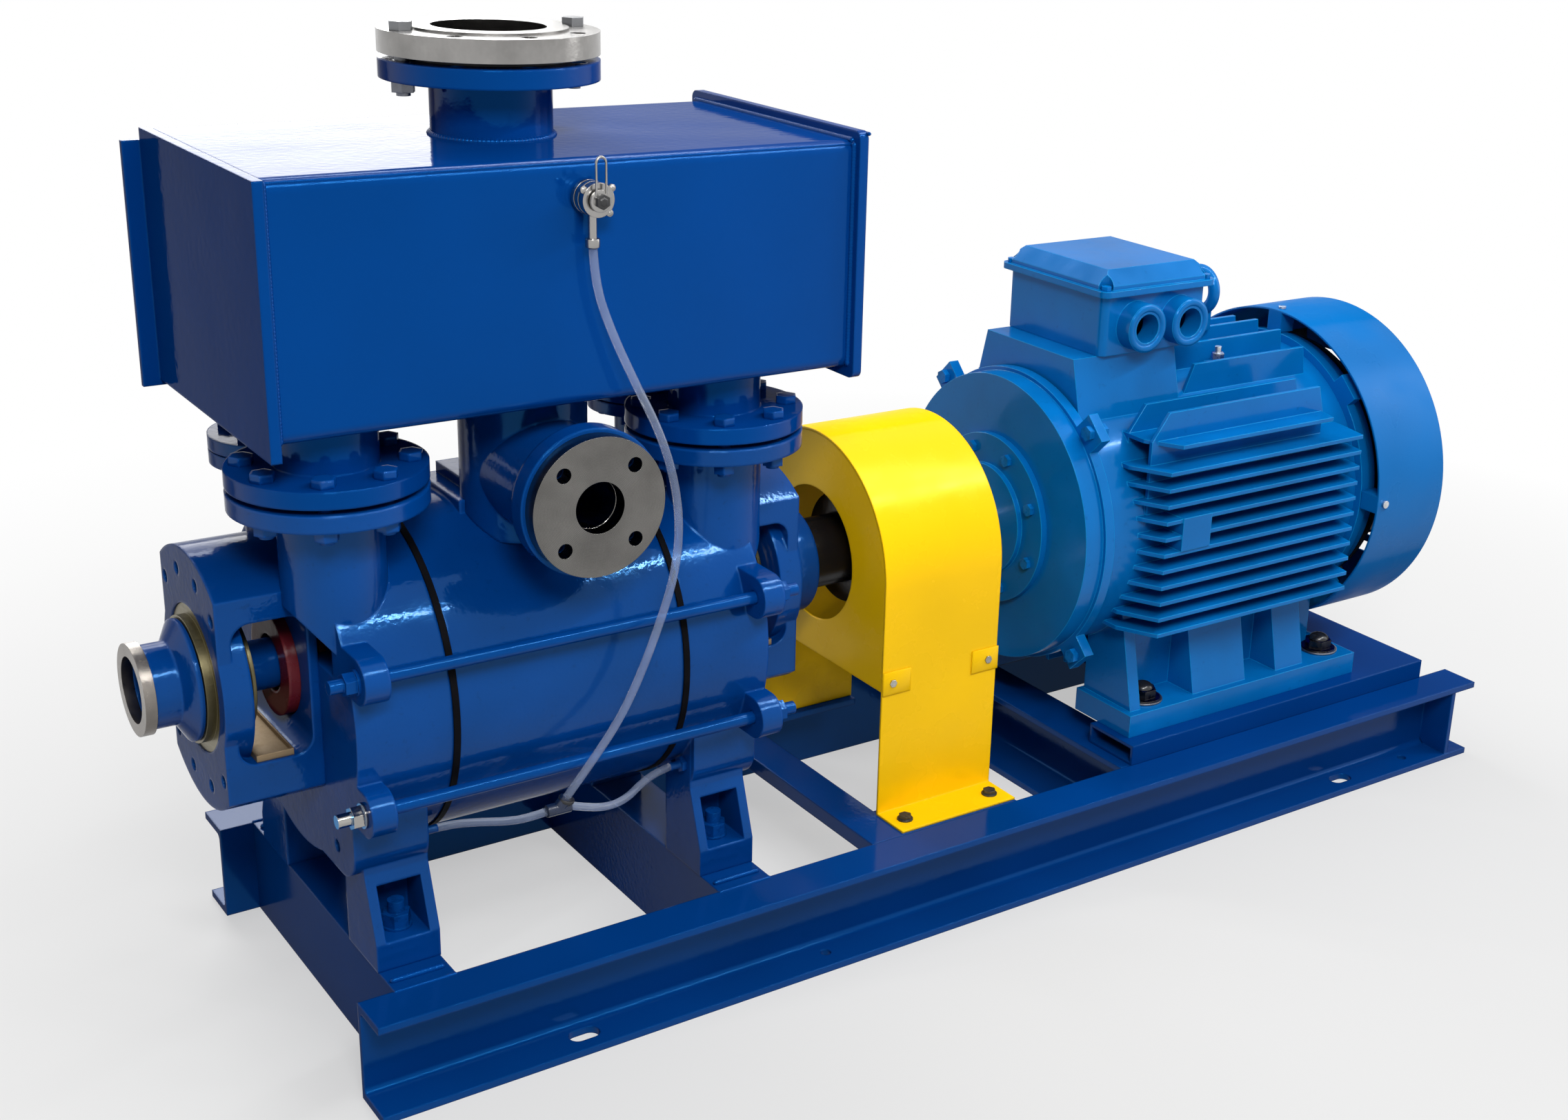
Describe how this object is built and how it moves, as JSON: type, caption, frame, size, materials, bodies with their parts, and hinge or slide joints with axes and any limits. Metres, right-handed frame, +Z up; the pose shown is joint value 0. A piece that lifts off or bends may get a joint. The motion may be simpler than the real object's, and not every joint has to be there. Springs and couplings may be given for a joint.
{
  "type": "liquid ring vacuum pump",
  "caption": "Skid with a liquid ring pump driven by an electric motor through a guarded coupling; a box-shaped separator tank stands on the pump's flanges.",
  "frame": {"origin": "on the floor, at the middle of the four foundation slots in the base channels", "axes": "+X along the shaft from pump to motor, +Z up, -Y towards the side with the suction flange"},
  "size_m": [2.024, 0.604, 1.185],
  "materials": {
    "blue_paint": "gloss paint on welded steel",
    "blue_casting": "gloss paint on cast iron",
    "motor_paint": "satin paint on cast iron",
    "fan_cover_paint": "satin paint on sheet steel",
    "yellow_paint": "satin paint on sheet steel",
    "stainless": "machined stainless steel",
    "steel": "machined steel",
    "brass_ring": "machined brass",
    "red_iron": "primer red on cast iron",
    "tray_tan": "plain steel with a tan coat",
    "black_iron": "blackened cast iron",
    "black_rubber": "matt rubber",
    "dark_plastic": "black moulded plastic",
    "clear_hose": "clear soft plastic",
    "valve_grip": "black moulded plastic"
  },
  "bodies": {
    "skid": {"base_channel_front": "blue_paint", "base_channel_rear": "blue_paint", "bearing_bracket_left": "blue_casting", "bearing_bracket_right": "blue_casting", "bearing_cover_left": "brass_ring", "bearing_cover_right": "blue_casting", "cross_channels_motor": "blue_paint", "cross_channels_pump": "blue_paint", "drip_trays": "tray_tan", "fan_cover": "fan_cover_paint", "flange_gaskets": "black_rubber", "foot_bolts": "blue_paint", "guard_bolts": "stainless", "guard_cover": "yellow_paint", "guard_cross_bar": "blue_paint", "guard_ends": "yellow_paint", "hose_barbs": "stainless", "hose_left": "clear_hose", "hose_main": "clear_hose", "hose_right": "clear_hose", "hose_tee": "dark_plastic", "lifting_eye": "stainless", "motor_bearing_cap": "motor_paint", "motor_frame": "motor_paint", "motor_rails": "blue_paint", "motor_screws": "stainless", "motor_shield_front": "motor_paint", "motor_shield_rear": "motor_paint", "outlet_bolts": "stainless", "outlet_flange": "stainless", "outlet_neck": "blue_paint", "packing_housings": "red_iron", "port_blanks": "blue_casting", "port_bolts": "blue_paint", "port_plates": "steel", "pump_casing": "blue_casting", "pump_cover_left": "blue_casting", "pump_cover_right": "blue_casting", "shaft_bearings": "steel", "stator_core": "steel", "suction_body": "blue_casting", "suction_flange": "stainless", "tank_branches": "blue_paint", "tank_plates": "blue_paint", "tank_shell": "blue_paint", "terminal_box": "motor_paint", "terminal_lid": "motor_paint", "tie_rods": "stainless", "valve_body": "stainless"},
    "pump_rotor": {"pump_shaft": "steel", "impeller": "steel", "slinger_rings": "brass_ring", "shaft_end_hub": "blue_casting", "shaft_end_rim": "stainless", "pump_coupling_hub": "black_iron", "coupling_ring": "black_rubber"},
    "motor_rotor_set": {"motor_rotor": "steel", "cooling_fan": "dark_plastic", "motor_coupling_hub": "black_iron"},
    "lever": {"valve_lever": "valve_grip"}
  },
  "joints": [
    {"name": "motor_spin", "type": "hinge", "parent": "skid", "child": "motor_rotor_set", "pos_m": [0.44, 0, 0.458], "axis": [1, 0, 0], "continuous": true},
    {"name": "pump_spin", "type": "hinge", "parent": "skid", "child": "pump_rotor", "pos_m": [-0.638, 0, 0.458], "axis": [1, 0, 0], "continuous": true},
    {"name": "valve_turn", "type": "hinge", "parent": "skid", "child": "lever", "pos_m": [-0.614, -0.2323, 1.017], "axis": [0, 1, 0], "range_deg": [0, 90]}
  ],
  "couplings": [
    {"joint": "pump_spin", "follows": "motor_spin", "ratio": 1}
  ]
}
